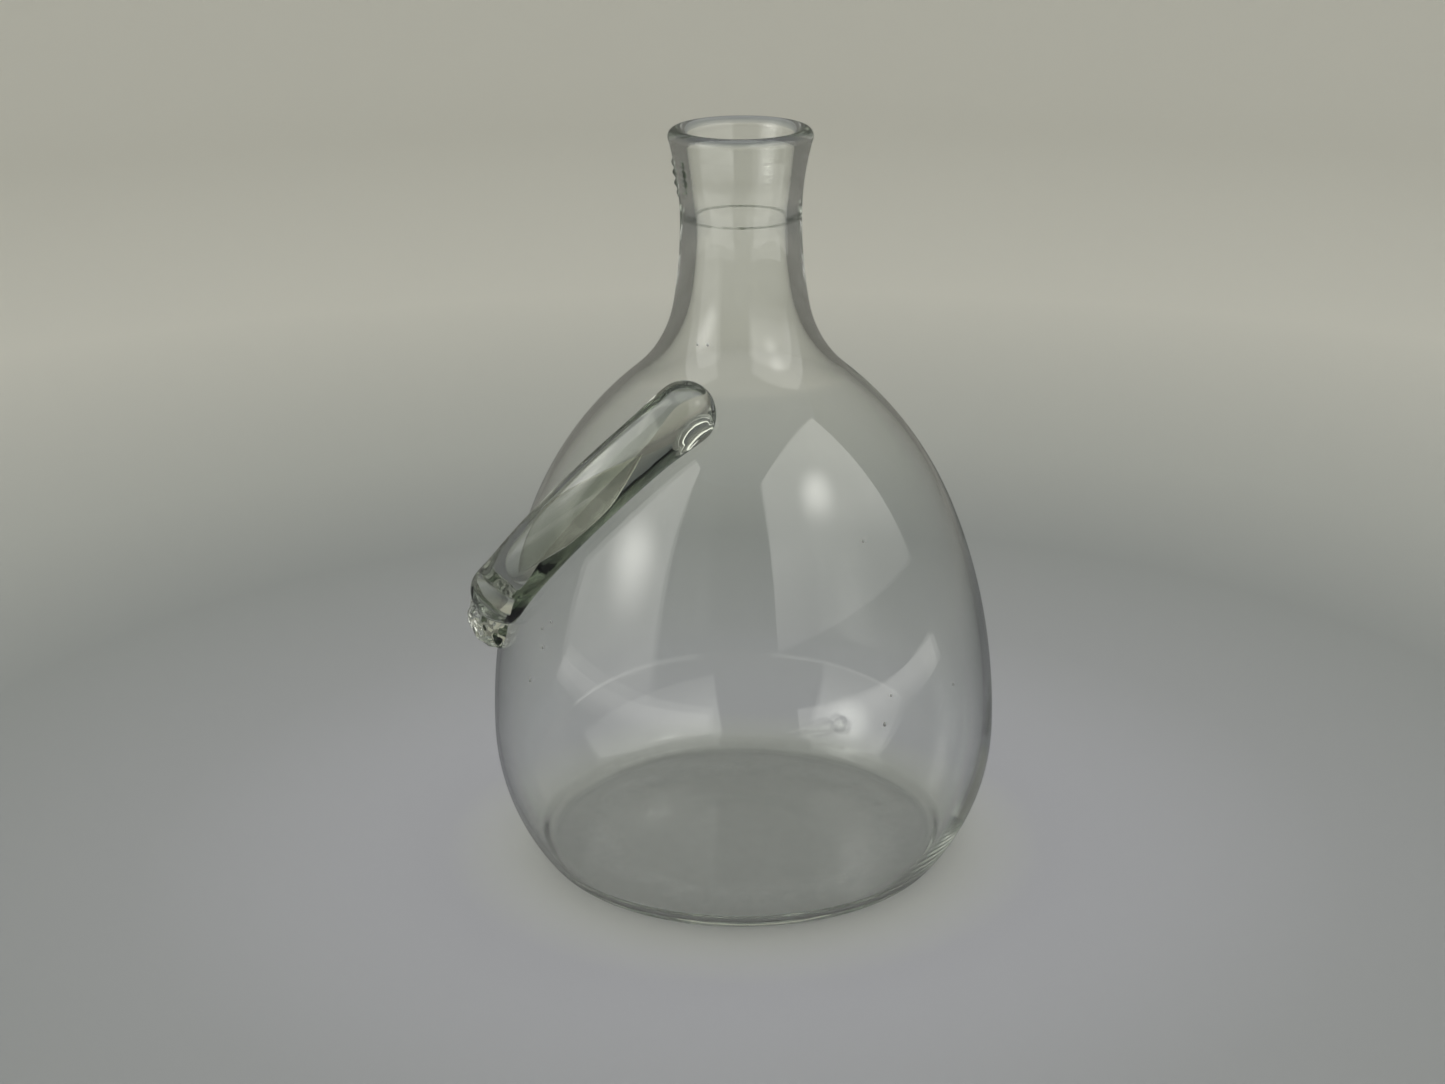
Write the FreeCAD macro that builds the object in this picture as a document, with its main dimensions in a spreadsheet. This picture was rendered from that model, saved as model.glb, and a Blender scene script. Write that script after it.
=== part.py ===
# Hand-blown laboratory flask: a flat foot, an egg-shaped body, a thick neck with a flared
# mouth fused on, and a solid glass rod handle laid slantwise on the shoulder.
#
# Frame: the foot stands on z = 0, the flask axis is Z, +X is right and the front is -Y.
# Azimuths are measured from the front (-Y) towards the left (-X).  All sizes are in mm.
import os
import math

import FreeCAD
import Part
import Sketcher
from FreeCAD import Placement, Rotation, Vector

DIMS = {
    # foot
    "heel_r": 3.2,             # rounding between the foot and the side
    "inner_heel_r": 7.0,       # the same corner on the inside
    "base_wall": 2.4,          # glass at the middle of the base
    # egg-shaped body
    "belly_r": 61.0,           # widest radius
    "belly_z": 33.0,           # height of the widest place
    "lower_arc": 51.6,         # curvature below the belly
    "upper_arc": 142.8,        # curvature above the belly
    "upper_arc_top": 86.5,     # height where the shoulder curvature starts
    "shoulder_arc": 84.3,      # curvature of the shoulder
    "root_arc": 27.8,          # hollow curve from the shoulder into the neck
    "neck_arc": 116.0,         # long hollow curve of the neck
    "body_wall": 1.8,          # glass thickness of the body
    # neck and mouth
    "seam_z": 157.2,           # fused ring joint between body and mouth tube
    "neck_r": 14.0,            # narrowest outside radius, at the joint
    "neck_bore_r": 10.1,       # bore of the body at the joint
    "mouth_bore_r": 10.5,      # bore of the mouth tube at the joint
    "lip_r": 14.7,             # crest of the rounded lip
    "lip_z": 177.6,
    "lip_arc": 1.9,            # rounding of the outer lip
    "mouth_edge_r": 12.2,      # sharp inner edge of the mouth
    "crest_arc": 2.9,          # rounding from the crest down to the inner edge
    # rod handle: an oval rod bent to a circular arc that follows the body
    "rod_half_width": 6.5,     # along the body surface
    "rod_side_arc": 3.7,       # the oval section: tight sides and flatter faces
    "rod_flat_arc": 7.8,
    "bend_r": 63.8,            # bend radius of the rod centreline
    "bend_x": -13.9,           # bend centre
    "bend_y": 25.3,
    "bend_z": 88.9,
    "tip_angle": 68.05,        # where the lower tip lies on the bend circle
    "rod_sweep": 64.6,         # from the lower tip to the upper end
    "rod_tip_half_width": 7.0,   # rounded lower end, a little fatter than the rod
    "rod_tip_side_arc": 4.6,
    "rod_tip_flat_arc": 8.0,
    "rod_head_half_width": 7.1,  # rounded upper end
    "rod_head_side_arc": 4.6,
    "rod_head_flat_arc": 8.2,
    # pressed foot of the handle
    "pad_azimuth": 81.0,
    "pad_r": 62.2,             # distance of its middle from the flask axis
    "pad_z": 63.4,
    "pad_half_width": 7.3,     # along the body surface
    "pad_side_arc": 5.0,
    "pad_flat_arc": 8.2,
}
# The bend axis of the rod handle: turned about Z, then tipped from upright.
BEND_TURN = 150.1
BEND_TIP = 47.0

doc = FreeCAD.newDocument("flask")
sheet = doc.addObject("Spreadsheet::Sheet", "dims")
for row, (name, value) in enumerate(DIMS.items(), start=1):
    sheet.set("A%d" % row, name)
    sheet.set("B%d" % row, repr(value))
    sheet.setAlias("B%d" % row, name)
doc.recompute()


def meet(centre_a, radius_a, centre_b, radius_b):
    """Meeting point of two circles, on the right of the way from a to b."""
    run = (centre_b[0] - centre_a[0], centre_b[1] - centre_a[1])
    gap = math.hypot(*run)
    along = (gap ** 2 + radius_a ** 2 - radius_b ** 2) / (2 * gap)
    across = math.sqrt(radius_a ** 2 - along ** 2)
    ux = run[0] / gap
    uy = run[1] / gap
    return (centre_a[0] + along * ux + across * uy, centre_a[1] + along * uy - across * ux)


def toward(start, target, distance):
    """Point at a distance from start, in the direction of target."""
    run = (target[0] - start[0], target[1] - start[1])
    scale = distance / math.hypot(*run)
    return (start[0] + run[0] * scale, start[1] + run[1] * scale)


class Outline:
    """A closed outline in the XZ plane of a body, drawn edge after edge."""

    def __init__(self, body, name):
        self.sketch = body.newObject("Sketcher::SketchObject", name)
        self.sketch.AttachmentSupport = [(body.Origin.OriginFeatures[4], "")]
        self.sketch.MapMode = "FlatFace"
        self.edges = []

    def rule(self, *args):
        return self.sketch.addConstraint(Sketcher.Constraint(*args))

    def size(self, expression, value, *args):
        """A driving dimension tied to the table of sizes."""
        index = self.rule(*args, value)
        self.sketch.setExpression("Constraints[%d]" % index, expression)

    def join(self, edge, kind):
        if self.edges:
            before = self.edges[-1]
            self.rule(kind, before[0], before[2], edge[0], edge[1])
        self.edges.append(edge)

    def line(self, a, b, kind="Coincident"):
        segment = Part.LineSegment(Vector(a[0], a[1], 0), Vector(b[0], b[1], 0))
        index = self.sketch.addGeometry(segment, False)
        self.join((index, 1, 2), kind)
        return index

    def arc(self, centre, a, b, clockwise=False, kind="Tangent"):
        """Arc from a to b about a centre."""
        radius = math.hypot(a[0] - centre[0], a[1] - centre[1])
        first, last = (b, a) if clockwise else (a, b)
        angles = [math.atan2(p[1] - centre[1], p[0] - centre[0]) for p in (first, last)]
        circle = Part.Circle(Vector(centre[0], centre[1], 0), Vector(0, 0, 1), radius)
        index = self.sketch.addGeometry(Part.ArcOfCircle(circle, *angles), False)
        self.join((index, 2, 1) if clockwise else (index, 1, 2), kind)
        return index

    def close(self, kind="Coincident"):
        first = self.edges[0]
        last = self.edges[-1]
        self.rule(kind, last[0], last[2], first[0], first[1])


def heel(lower, lower_r, floor_z, radius):
    """Centre and both joints of the rounded corner between a flat floor and the side."""
    rise = DIMS["belly_z"] - floor_z - radius
    centre = (lower[0] + math.sqrt((lower_r - radius) ** 2 - rise ** 2), floor_z + radius)
    return centre, (centre[0], floor_z), toward(lower, centre, lower_r)


def side_points(inset, neck_r):
    """Arc centres and joints of one face of the wall, from the belly to the ring joint."""
    d = DIMS
    belly = (d["belly_r"] - inset, d["belly_z"])
    upper_r = d["upper_arc"] - inset
    upper = (belly[0] - upper_r, d["belly_z"])
    lean = math.asin((d["upper_arc_top"] - d["belly_z"]) / upper_r)
    upper_top = (upper[0] + upper_r * math.cos(lean), d["upper_arc_top"])
    shoulder_r = d["shoulder_arc"] - inset
    shoulder = toward(upper_top, upper, shoulder_r)
    neck_arc = d["neck_arc"] + d["neck_r"] - neck_r
    neck = (neck_r + neck_arc, d["seam_z"])
    root_r = d["root_arc"] + inset
    root = meet(neck, neck_arc - root_r, shoulder, shoulder_r + root_r)
    return {
        "lower": (d["belly_r"] - d["lower_arc"], d["belly_z"]),
        "belly": belly,
        "upper": upper,
        "upper_top": upper_top,
        "shoulder": shoulder,
        "shoulder_top": toward(shoulder, root, shoulder_r),
        "root": root,
        "root_top": toward(neck, root, neck_arc),
        "neck": neck,
        "neck_top": (neck_r, d["seam_z"]),
    }


def outer_wall(outline):
    """Underside and outside of the body, from the axis to the ring joint."""
    d = DIMS
    w = side_points(0.0, d["neck_r"])
    heel_centre, heel_foot, heel_top = heel(w["lower"], d["lower_arc"], 0.0, d["heel_r"])
    foot = outline.line((0.0, 0.0), heel_foot)
    corner = outline.arc(heel_centre, heel_foot, heel_top)
    lower = outline.arc(w["lower"], heel_top, w["belly"])
    upper = outline.arc(w["upper"], w["belly"], w["upper_top"])
    shoulder = outline.arc(w["shoulder"], w["upper_top"], w["shoulder_top"])
    root = outline.arc(w["root"], w["shoulder_top"], w["root_top"], True)
    neck = outline.arc(w["neck"], w["root_top"], w["neck_top"], True)
    outline.rule("Coincident", foot, 1, -1, 1)
    outline.rule("Horizontal", foot)
    outline.size("dims.heel_r", d["heel_r"], "Radius", corner)
    outline.size("dims.lower_arc", d["lower_arc"], "Radius", lower)
    outline.rule("Horizontal", lower, 3, lower, 2)
    outline.size("dims.belly_r", d["belly_r"], "DistanceX", -1, 1, lower, 2)
    outline.size("dims.belly_z", d["belly_z"], "DistanceY", -1, 1, lower, 2)
    outline.size("dims.upper_arc", d["upper_arc"], "Radius", upper)
    outline.size("dims.upper_arc_top", d["upper_arc_top"], "DistanceY", -1, 1, upper, 2)
    outline.size("dims.shoulder_arc", d["shoulder_arc"], "Radius", shoulder)
    outline.size("dims.root_arc", d["root_arc"], "Radius", root)
    outline.size("dims.neck_arc", d["neck_arc"], "Radius", neck)
    outline.rule("Horizontal", neck, 3, neck, 1)
    outline.size("dims.neck_r", d["neck_r"], "DistanceX", -1, 1, neck, 1)
    outline.size("dims.seam_z", d["seam_z"], "DistanceY", -1, 1, neck, 1)


def inner_wall(outline):
    """Inside of the body, from the bore at the ring joint down to the axis."""
    d = DIMS
    t = d["body_wall"]
    bore = d["neck_bore_r"]
    w = side_points(t, bore)
    lower_r = d["lower_arc"] - t
    corner = heel(w["lower"], lower_r, d["base_wall"], d["inner_heel_r"])
    heel_centre, heel_foot, heel_top = corner
    neck = outline.arc(w["neck"], w["neck_top"], w["root_top"], kind="Coincident")
    root = outline.arc(w["root"], w["root_top"], w["shoulder_top"])
    shoulder = outline.arc(w["shoulder"], w["shoulder_top"], w["upper_top"], True)
    upper = outline.arc(w["upper"], w["upper_top"], w["belly"], True)
    lower = outline.arc(w["lower"], w["belly"], heel_top, True)
    corner = outline.arc(heel_centre, heel_top, heel_foot, True)
    floor = outline.line(heel_foot, (0.0, d["base_wall"]), "Tangent")
    outline.rule("Horizontal", neck, 3, neck, 1)
    outline.size("dims.neck_bore_r", bore, "DistanceX", -1, 1, neck, 1)
    outline.size("dims.neck_arc + dims.neck_r - dims.neck_bore_r",
                 d["neck_arc"] + d["neck_r"] - bore, "Radius", neck)
    outline.size("dims.root_arc + dims.body_wall", d["root_arc"] + t, "Radius", root)
    outline.size("dims.shoulder_arc - dims.body_wall", d["shoulder_arc"] - t,
                 "Radius", shoulder)
    outline.size("dims.upper_arc - dims.body_wall", d["upper_arc"] - t, "Radius", upper)
    outline.size("dims.upper_arc_top", d["upper_arc_top"], "DistanceY", -1, 1, upper, 2)
    outline.rule("Horizontal", lower, 3, lower, 2)
    outline.size("dims.belly_r - dims.body_wall", w["belly"][0], "DistanceX", -1, 1, lower, 2)
    outline.size("dims.belly_z", d["belly_z"], "DistanceY", -1, 1, lower, 2)
    outline.size("dims.lower_arc - dims.body_wall", lower_r, "Radius", lower)
    outline.size("dims.inner_heel_r", d["inner_heel_r"], "Radius", corner)
    outline.rule("Horizontal", floor)
    outline.rule("PointOnObject", floor, 2, -2)
    outline.size("dims.base_wall", d["base_wall"], "DistanceY", -1, 1, floor, 2)


def turned(body, outline, axis="V_Axis"):
    """Turn the outline about an axis of its sketch."""
    solid = body.newObject("PartDesign::Revolution", body.Name + "_turned")
    solid.Profile = outline.sketch
    solid.ReferenceAxis = (outline.sketch, [axis])
    solid.Angle = 360.0
    return solid


# ---- bulb: foot, body and lower neck, one blown bubble of glass ----
bulb = doc.addObject("PartDesign::Body", "bulb")
skin = Outline(bulb, "bulb_outline")
outer_wall(skin)
ring_inside = (DIMS["neck_bore_r"], DIMS["seam_z"])
ring = skin.line((DIMS["neck_r"], DIMS["seam_z"]), ring_inside)
skin.rule("Horizontal", ring)
inner_wall(skin)
skin.line((0.0, DIMS["base_wall"]), (0.0, 0.0))
skin.close()
turned(bulb, skin)

# ---- neck_finish: the mouth tube with its flare and rounded lip, fused on the neck ----
neck_finish = doc.addObject("PartDesign::Body", "neck_finish")
mouth = Outline(neck_finish, "mouth_outline")
lip_centre = (DIMS["lip_r"], DIMS["lip_z"] - DIMS["lip_arc"])
step = (lip_centre[0] - DIMS["neck_r"], lip_centre[1] - DIMS["seam_z"])
flare_r = (math.hypot(*step) ** 2 - DIMS["lip_arc"] ** 2) / (2 * (DIMS["lip_arc"] + step[0]))
flare_centre = (DIMS["neck_r"] + flare_r, DIMS["seam_z"])
flare_top = toward(flare_centre, lip_centre, flare_r)
crest = (DIMS["lip_r"], DIMS["lip_z"])
crest_centre = (DIMS["lip_r"], DIMS["lip_z"] - DIMS["crest_arc"])
edge_drop = math.sqrt(DIMS["crest_arc"] ** 2 - (DIMS["lip_r"] - DIMS["mouth_edge_r"]) ** 2)
edge = (DIMS["mouth_edge_r"], crest_centre[1] + edge_drop)
tube_foot = (DIMS["mouth_bore_r"], DIMS["seam_z"])
ring_edge = mouth.line(tube_foot, (DIMS["neck_r"], DIMS["seam_z"]))
flare = mouth.arc(flare_centre, (DIMS["neck_r"], DIMS["seam_z"]), flare_top, True,
                  "Coincident")
lip = mouth.arc(lip_centre, flare_top, crest)
lip_crest = mouth.arc(crest_centre, crest, edge)
mouth.line(edge, tube_foot)
mouth.close()
mouth.rule("Horizontal", ring_edge)
mouth.size("dims.seam_z", DIMS["seam_z"], "DistanceY", -1, 1, ring_edge, 1)
mouth.size("dims.mouth_bore_r", DIMS["mouth_bore_r"], "DistanceX", -1, 1, ring_edge, 1)
mouth.size("dims.neck_r", DIMS["neck_r"], "DistanceX", -1, 1, ring_edge, 2)
mouth.rule("Horizontal", flare, 3, flare, 2)
mouth.rule("Vertical", lip, 3, lip, 2)
mouth.size("dims.lip_arc", DIMS["lip_arc"], "Radius", lip)
mouth.size("dims.lip_r", DIMS["lip_r"], "DistanceX", -1, 1, lip, 2)
mouth.size("dims.lip_z", DIMS["lip_z"], "DistanceY", -1, 1, lip, 2)
mouth.size("dims.crest_arc", DIMS["crest_arc"], "Radius", lip_crest)
mouth.size("dims.mouth_edge_r", DIMS["mouth_edge_r"], "DistanceX", -1, 1, lip_crest, 2)
turned(neck_finish, mouth)

# ---- form: the outside of the blown body as a solid, against which the handle is pressed ----
form = doc.addObject("PartDesign::Body", "form")
shell = Outline(form, "form_outline")
outer_wall(shell)
lid = shell.line((DIMS["neck_r"], DIMS["seam_z"]), (0.0, DIMS["seam_z"]))
shell.rule("Horizontal", lid)
shell.rule("PointOnObject", lid, 2, -2)
shell.line((0.0, DIMS["seam_z"]), (0.0, 0.0))
shell.close()
turned(form, shell)

# ---- handle_rod: oval glass rod with rounded ends, bent along the body and welded to it ----
def oval_points(middle, half_width, side_arc, flat_arc):
    """Centres and joints of an oval drawn with two flat arcs and two tight side arcs."""
    side_reach = half_width - side_arc
    flat_reach = math.sqrt((flat_arc - side_arc) ** 2 - side_reach ** 2)
    side = (middle, side_reach)
    front = (middle - flat_reach, 0.0)
    back = (middle + flat_reach, 0.0)
    front_joint = toward(front, side, flat_arc)
    back_joint = toward(back, side, flat_arc)
    return side, front, back, front_joint, back_joint, flat_arc - flat_reach


def lump(name):
    """Cushion-shaped lump of glass: round when seen along its X axis, flatter along it."""
    body = doc.addObject("PartDesign::Body", name)
    outline = Outline(body, name + "_outline")
    sizes = [name + "_half_width", name + "_side_arc", name + "_flat_arc"]
    half_width, side_arc, flat_arc = [DIMS[size] for size in sizes]
    points = oval_points(0.0, half_width, side_arc, flat_arc)
    side, front, back, front_joint, back_joint, depth = points
    first = outline.arc(front, (depth, 0.0), front_joint)
    rim = outline.arc(side, front_joint, back_joint)
    last = outline.arc(back, back_joint, (-depth, 0.0))
    outline.line((-depth, 0.0), (depth, 0.0))
    outline.close()
    outline.rule("PointOnObject", first, 1, -1)
    outline.rule("PointOnObject", last, 2, -1)
    outline.rule("PointOnObject", first, 3, -1)
    outline.rule("PointOnObject", last, 3, -1)
    outline.rule("PointOnObject", rim, 3, -2)
    outline.rule("Equal", first, last)
    outline.size("dims." + sizes[1], side_arc, "Radius", rim)
    outline.size("dims." + sizes[2], flat_arc, "Radius", first)
    outline.size("dims.%s - dims.%s" % (sizes[0], sizes[1]), half_width - side_arc,
                 "DistanceY", -1, 1, rim, 3)
    turned(body, outline, "H_Axis")
    return body


rod = doc.addObject("PartDesign::Body", "rod")
section = Outline(rod, "rod_section")
half_width, side_arc, flat_arc = [
    DIMS[size] for size in ("rod_half_width", "rod_side_arc", "rod_flat_arc")]
points = oval_points(DIMS["bend_r"], half_width, side_arc, flat_arc)
side, front, back, front_joint, back_joint, depth = points
outward = section.arc(front, (front_joint[0], -front_joint[1]), front_joint)
upper_side = section.arc(side, front_joint, back_joint)
inward = section.arc(back, back_joint, (back_joint[0], -back_joint[1]))
lower_side = section.arc((side[0], -side[1]), (back_joint[0], -back_joint[1]),
                         (front_joint[0], -front_joint[1]))
section.close("Tangent")
section.rule("PointOnObject", outward, 3, -1)
section.rule("PointOnObject", inward, 3, -1)
section.rule("Equal", outward, inward)
section.rule("Equal", upper_side, lower_side)
section.size("dims.rod_side_arc", side_arc, "Radius", upper_side)
section.size("dims.rod_flat_arc", flat_arc, "Radius", outward)
section.size("dims.bend_r", DIMS["bend_r"], "DistanceX", -1, 1, upper_side, 3)
section.size("2 * (dims.rod_half_width - dims.rod_side_arc)", 2 * side[1],
             "DistanceY", lower_side, 3, upper_side, 3)
bent = turned(rod, section)
bent.setExpression("Angle", "dims.rod_sweep")
bend_centre = Vector(DIMS["bend_x"], DIMS["bend_y"], DIMS["bend_z"])
spin = Rotation(Vector(0, 0, 1), DIMS["tip_angle"])
lean = Rotation(BEND_TURN, BEND_TIP, 0).multiply(spin)
rod.Placement = Placement(bend_centre, lean)
for axis in "xyz":
    rod.setExpression("Placement.Base." + axis, "dims.bend_" + axis)
rod_ends = []
for name, sweep, roll in (("rod_tip", 0.0, 90.0), ("rod_head", DIMS["rod_sweep"], -90.0)):
    end = lump(name)
    around = lean.multiply(Rotation(Vector(0, 0, 1), sweep))
    centre = bend_centre + around.multVec(Vector(DIMS["bend_r"], 0, 0))
    end.Placement = Placement(centre, around.multiply(Rotation(Vector(1, 0, 0), roll)))
    rod_ends.append(end)
whole_rod = doc.addObject("Part::MultiFuse", "whole_rod")
whole_rod.Shapes = [rod] + rod_ends
handle_rod = doc.addObject("Part::Cut", "handle_rod")
handle_rod.Base = whole_rod
handle_rod.Tool = form

# ---- handle_foot: the dab of glass pressed on the side, holding the lower tip of the rod ----
pad = lump("pad")
pad.Placement = Placement(Vector(), Rotation(Vector(0, 0, 1), -90.0 - DIMS["pad_azimuth"]))
pad.setExpression("Placement.Base.x", "-dims.pad_r * sin(dims.pad_azimuth * 1 deg)")
pad.setExpression("Placement.Base.y", "-dims.pad_r * cos(dims.pad_azimuth * 1 deg)")
pad.setExpression("Placement.Base.z", "dims.pad_z")
pressed = doc.addObject("Part::Cut", "pressed")
pressed.Base = pad
pressed.Tool = form
handle_foot = doc.addObject("Part::Cut", "handle_foot")
handle_foot.Base = pressed
handle_foot.Tool = whole_rod

doc.recompute()
for thing in doc.Objects:
    if "Invalid" in thing.State or "Error" in thing.State:
        raise RuntimeError("%s did not recompute" % thing.Name)

PARTS = (bulb, neck_finish, handle_rod, handle_foot)
os.makedirs("parts", exist_ok=True)
for piece in PARTS:
    piece.Label = piece.Name
    shape = piece.Shape
    if shape.isNull() or not shape.isValid() or len(shape.Solids) != 1:
        raise RuntimeError("%s is not one valid solid" % piece.Label)
    shape.exportStep("parts/%s.step" % piece.Label)
    box = shape.BoundBox
    print("%s: %.1f cm3, %.1f x %.1f x %.1f mm" % (
        piece.Label, shape.Volume / 1000, box.XLength, box.YLength, box.ZLength))
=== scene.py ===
import bpy
import cmath
import math
import numpy as np
from mathutils import Matrix, Vector, noise
from mathutils.bvhtree import BVHTree


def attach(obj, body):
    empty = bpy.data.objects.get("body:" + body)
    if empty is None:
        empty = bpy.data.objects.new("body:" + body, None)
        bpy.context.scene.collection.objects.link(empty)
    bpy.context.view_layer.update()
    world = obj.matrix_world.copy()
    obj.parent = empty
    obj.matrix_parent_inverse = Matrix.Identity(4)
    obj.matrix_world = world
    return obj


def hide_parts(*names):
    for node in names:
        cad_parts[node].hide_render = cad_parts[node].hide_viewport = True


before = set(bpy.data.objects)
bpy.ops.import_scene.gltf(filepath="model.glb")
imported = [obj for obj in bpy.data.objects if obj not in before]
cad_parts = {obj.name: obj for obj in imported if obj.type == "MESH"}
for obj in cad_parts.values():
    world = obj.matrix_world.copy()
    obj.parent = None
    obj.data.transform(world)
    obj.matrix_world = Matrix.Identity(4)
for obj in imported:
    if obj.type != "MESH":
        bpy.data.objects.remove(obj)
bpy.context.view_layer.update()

# ---- The bulb ----
# One blown bubble of hard laboratory glass: a foot flattened while soft, an egg-shaped body and
# the lower neck in a single wall.  Sizes are in mm; an outline point is radius + height * 1j.
MM = 0.001
BELLY_R = 61.0
BELLY_Z = 33.0
LOWER_ARC = 51.6
UPPER_ARC = 142.8
UPPER_TOP_Z = 86.5
SHOULDER_ARC = 84.3
ROOT_ARC = 27.8
NECK_ARC = 116.0
NECK_R = 14.0
SEAM_Z = 157.2
WALL = 1.8
BASE_WALL = 2.4
BORE_R = 10.1
MOUTH_BORE_R = 10.5
OPENED = 9.0                 # length over which the bore widens below the joint
FLOOR_DIP = 0.3
FLOOR_DIP_R = 17.2
FLOOR_DIP_EDGE = 0.7
HEEL_R = 3.2
INNER_HEEL_R = 7.0
OUTER_PITCH = 1.2
INNER_PITCH = 2.2
EDGE_PITCH = 0.5
FLOOR_RINGS = 24
HANDLE_SIDE = (5.0, 97.0)    # azimuths between which the handle touches, from the front to the left
FINE_TURN = 0.8              # degrees between columns of the mesh there, and elsewhere
COARSE_TURN = 2.0
OUTER_SWELL = 0.22           # how far the faces of the wall wander from true, and where they start
OUTER_PHASE = 0.4
INNER_SWELL = 0.34
INNER_PHASE = 1.9
SEAM_SKIN = 0.05             # width over which a hidden joint face turns into an open one


def toward(start, target, distance):
    """The point at a distance from start on the way to target."""
    return start + (target - start) / abs(target - start) * distance


def meet(centre_a, radius_a, centre_b, radius_b):
    """Meeting point of two circles, on the right of the way from a to b."""
    gap = abs(centre_b - centre_a)
    along = (gap ** 2 + radius_a ** 2 - radius_b ** 2) / (2 * gap)
    across = math.sqrt(radius_a ** 2 - along ** 2)
    return centre_a + (centre_b - centre_a) / gap * complex(along, -across)


def arc(centre, start, end, pitch):
    """Points about pitch apart on the shorter arc from start to end, without start itself."""
    turn = cmath.phase((end - centre) / (start - centre))
    steps = max(3, round(abs(turn * (start - centre)) / pitch))
    return [centre + (start - centre) * cmath.rect(1, turn * k / steps)
            for k in range(1, steps + 1)]


def wall_side(inset, neck_r, floor_z, heel_r, pitch):
    """One face of the wall, from the middle of the foot up to the ring joint."""
    lower = complex(BELLY_R - LOWER_ARC, BELLY_Z)
    belly = complex(BELLY_R - inset, BELLY_Z)
    upper = belly - (UPPER_ARC - inset)
    lean = math.asin((UPPER_TOP_Z - BELLY_Z) / (UPPER_ARC - inset))
    upper_top = upper + cmath.rect(UPPER_ARC - inset, lean)
    shoulder = toward(upper_top, upper, SHOULDER_ARC - inset)
    neck_arc = NECK_ARC + NECK_R - neck_r
    neck = complex(neck_r + neck_arc, SEAM_Z)
    root = meet(neck, neck_arc - ROOT_ARC - inset, shoulder, SHOULDER_ARC + ROOT_ARC)
    shoulder_top = toward(shoulder, root, SHOULDER_ARC - inset)
    root_top = toward(neck, root, neck_arc)
    rise = BELLY_Z - floor_z - heel_r
    reach = math.sqrt((LOWER_ARC - inset - heel_r) ** 2 - rise ** 2)
    heel = complex(lower.real + reach, floor_z + heel_r)
    heel_foot = heel - heel_r * 1j
    heel_top = toward(lower, heel, LOWER_ARC - inset)
    points = [complex(heel_foot.real * k / FLOOR_RINGS, floor_z) for k in range(FLOOR_RINGS + 1)]
    points += arc(heel, heel_foot, heel_top, EDGE_PITCH)
    points += arc(lower, heel_top, belly, pitch)
    points += arc(upper, belly, upper_top, pitch)
    points += arc(shoulder, upper_top, shoulder_top, pitch)
    points += arc(root, shoulder_top, root_top, pitch)
    return points + arc(neck, root_top, complex(neck_r, SEAM_Z), pitch)


def turned(outline, azimuths):
    """Vertices and faces of an outline turned about Z; azimuths run from the front to the left.
    The last ring is joined to the first, so the skin is closed."""
    vertices = []
    rings = []
    for point in outline:
        if point.real < 1e-9:
            rings.append([len(vertices)] * len(azimuths))
            vertices.append((0.0, 0.0, point.imag))
            continue
        rings.append(range(len(vertices), len(vertices) + len(azimuths)))
        vertices += [(-point.real * math.sin(a), -point.real * math.cos(a), point.imag)
                     for a in azimuths]
    faces = []
    for low, high in zip(rings, rings[1:] + rings[:1]):
        for j in range(len(azimuths)):
            k = (j + 1) % len(azimuths)
            face = tuple(dict.fromkeys((low[k], low[j], high[j], high[k])))
            if len(face) > 2:
                faces.append(face)
    return np.array(vertices), faces


def piece(name, vertices, faces, sharp_over=40.0):
    """A smooth mesh object at the origin from vertices in mm."""
    mesh = bpy.data.meshes.new(name)
    mesh.from_pydata((np.asarray(vertices) * MM).tolist(), [], faces)
    mesh.shade_smooth()
    mesh.set_sharp_from_angle(angle=math.radians(sharp_over))
    made = bpy.data.objects.new(name, mesh)
    bpy.context.scene.collection.objects.link(made)
    return made


def blown(vertices, depth, phase):
    """Moves each vertex in or out a little, as breath and turning leave a blown wall: two and
    three waves round it and one up it, dying away at the middle of the foot and at the joint."""
    x, y, z = vertices.T
    azimuth = np.arctan2(-x, -y)
    radius = np.hypot(x, y)
    swell = (0.5 * np.sin(2 * azimuth + z / 60 + phase)
             + 0.3 * np.sin(3 * azimuth - z / 31 + 2 * phase)
             + 0.2 * np.sin(z / 9.5 + 3 * phase + np.sin(azimuth)))
    fade = np.clip(radius / 40, 0, 1) * np.clip(z / 12, 0, 1) * np.clip((SEAM_Z - z) / 20, 0, 1)
    scale = 1 + depth * swell * fade / np.maximum(radius, 1)
    return np.column_stack((x * scale, y * scale, z))


fine = np.arange(*HANDLE_SIDE, FINE_TURN)
coarse = np.arange(HANDLE_SIDE[1], 360 + HANDLE_SIDE[0], COARSE_TURN)
bulb_azimuths = np.radians(np.concatenate((fine, coarse)))
outer_side = wall_side(0.0, NECK_R, 0.0, HEEL_R, OUTER_PITCH)
inner_side = wall_side(WALL, BORE_R, BASE_WALL, INNER_HEEL_R, INNER_PITCH)
# The flame opened the bore a little towards the joint, so that the two tubes meet flush.
inner_side = [p + (MOUTH_BORE_R - BORE_R) * max(0.0, 1 - (SEAM_Z - p.imag) / OPENED) ** 2
              if p.imag > BELLY_Z else p for p in inner_side]
ring_face = [complex(r, SEAM_Z) for r in (NECK_R - SEAM_SKIN, MOUTH_BORE_R + SEAM_SKIN)]
bulb_outline = outer_side + ring_face + inner_side[::-1]
bulb_vertices, bulb_faces = turned(bulb_outline, bulb_azimuths)
turn_count = len(bulb_azimuths)
outer_count = 1 + (len(outer_side) - 1) * turn_count
bulb_vertices[:outer_count] = blown(bulb_vertices[:outer_count], OUTER_SWELL, OUTER_PHASE)
bulb_vertices[outer_count:] = blown(bulb_vertices[outer_count:], INNER_SWELL, INNER_PHASE)
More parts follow.
